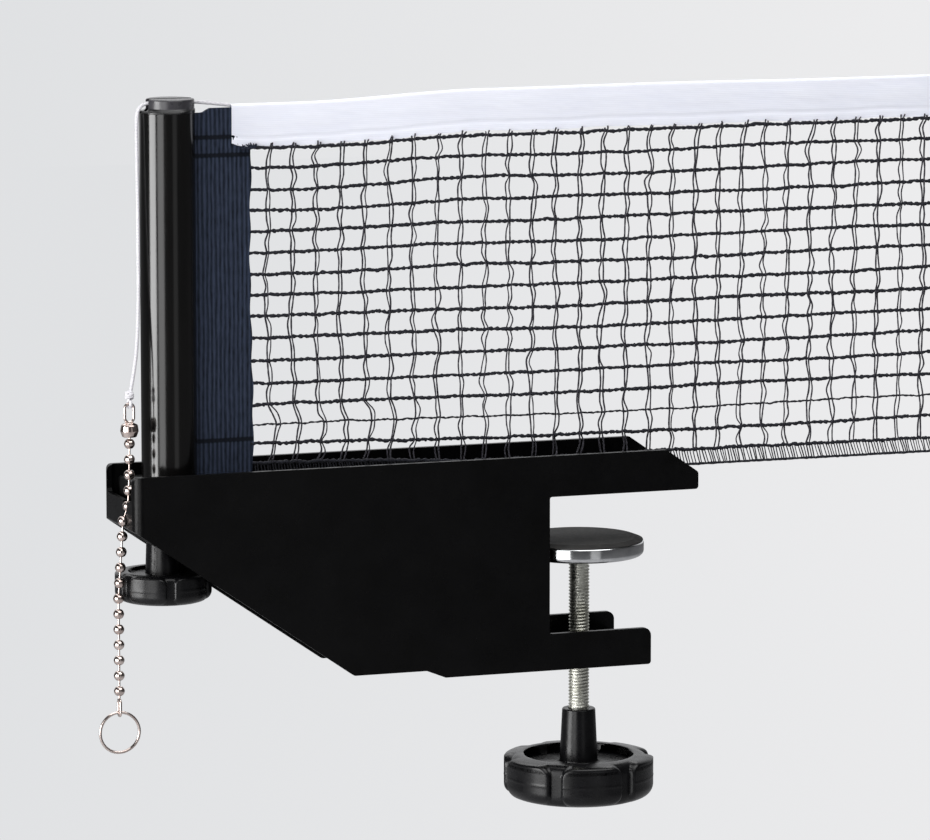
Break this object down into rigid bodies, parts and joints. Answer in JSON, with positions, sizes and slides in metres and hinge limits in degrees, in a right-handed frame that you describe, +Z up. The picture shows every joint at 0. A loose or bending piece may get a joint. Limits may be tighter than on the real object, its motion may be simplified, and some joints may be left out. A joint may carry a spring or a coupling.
{
  "type": "table tennis net clamp",
  "caption": "Screw-on table tennis net clamp with a height-adjustable post, ball-chain tensioner and the end of its net.",
  "frame": {"origin": "underside of the upper jaw, at the level of the playing surface, on the clamp screw's axis and midway between the side plates", "axes": "+X in over the table along the net, +Z up, +Y across the bracket towards its rear side plate"},
  "size_m": [0.3524, 0.057, 0.2715],
  "materials": {
    "black_coat": "black powder coat, satin",
    "black_gloss": "black gloss enamel",
    "cap_plastic": "dark grey moulding",
    "knob_plastic": "black moulding, fine grain",
    "guide_plastic": "black moulding",
    "zinc_steel": "bright zinc plate",
    "chrome": "polished",
    "rubber": "matt",
    "brass": "turned",
    "nylon": "natural",
    "nickel": "nickel plate",
    "navy_fabric": "ribbed woven band",
    "white_tape": "woven cotton tape",
    "net_cord": "knitted polyester cord",
    "white_cord": "braided cord"
  },
  "bodies": {
    "bracket": {"bracket_shell": "black_coat", "jaw_plate": "black_coat", "throat_plate": "black_coat", "screw_bridge": "black_coat", "threaded_bush": "zinc_steel", "base_plate": "black_coat", "post_guide": "guide_plastic", "chain_connector": "nickel", "chain_upper": "nickel", "tension_cord": "white_cord"},
    "post": {"post_tube": "black_gloss", "post_cap": "cap_plastic", "post_insert": "brass", "net_rod": "nylon", "net_sleeve": "navy_fabric", "net_tape": "white_tape", "net_mesh": "net_cord", "net_hem": "net_cord"},
    "height_knob": {"height_knob": "knob_plastic", "height_stud": "zinc_steel", "stud_clip": "zinc_steel", "knob_washer": "nylon", "height_knob_cover": "knob_plastic"},
    "pad": {"pad_cup": "chrome", "pad_rubber": "rubber", "pad_washer": "zinc_steel"},
    "screw": {"clamp_screw": "zinc_steel", "clamp_knob": "knob_plastic", "clamp_knob_cover": "knob_plastic"},
    "chain": {"chain_lower": "nickel", "chain_eyelet": "nickel"},
    "ring": {"pull_ring": "nickel"}
  },
  "joints": [
    {"name": "post_height", "type": "slide", "parent": "bracket", "child": "post", "axis": [0, 0, 1], "range_m": [-0.003, 0.006], "deforming": ["tension_cord"]},
    {"name": "height_turn", "type": "hinge", "parent": "bracket", "child": "height_knob", "pos_m": [-0.16475, 0, -0.0105], "axis": [0, 0, 1], "range_deg": [-2170, 1090]},
    {"name": "pad_travel", "type": "slide", "parent": "bracket", "child": "pad", "axis": [0, 0, 1], "range_m": [-0.0255, 0.0175]},
    {"name": "screw_turn", "type": "hinge", "parent": "pad", "child": "screw", "pos_m": [0, 0, -0.0611], "axis": [0, 0, 1], "range_deg": [-7360, 5050]},
    {"name": "chain_swing", "type": "hinge", "parent": "bracket", "child": "chain", "pos_m": [-0.18222, -0.0075, -0.0019], "axis": [0, 1, 0], "range_deg": [0, 60]},
    {"name": "ring_swing", "type": "hinge", "parent": "chain", "child": "ring", "pos_m": [-0.1842, -0.0075, -0.0732], "axis": [1, 0, 0], "range_deg": [-75, 75]}
  ],
  "couplings": [
    {"joint": "height_turn", "follows": "post_height", "rad_per_m": -6283.2},
    {"joint": "screw_turn", "follows": "pad_travel", "rad_per_m": 5026.5}
  ]
}
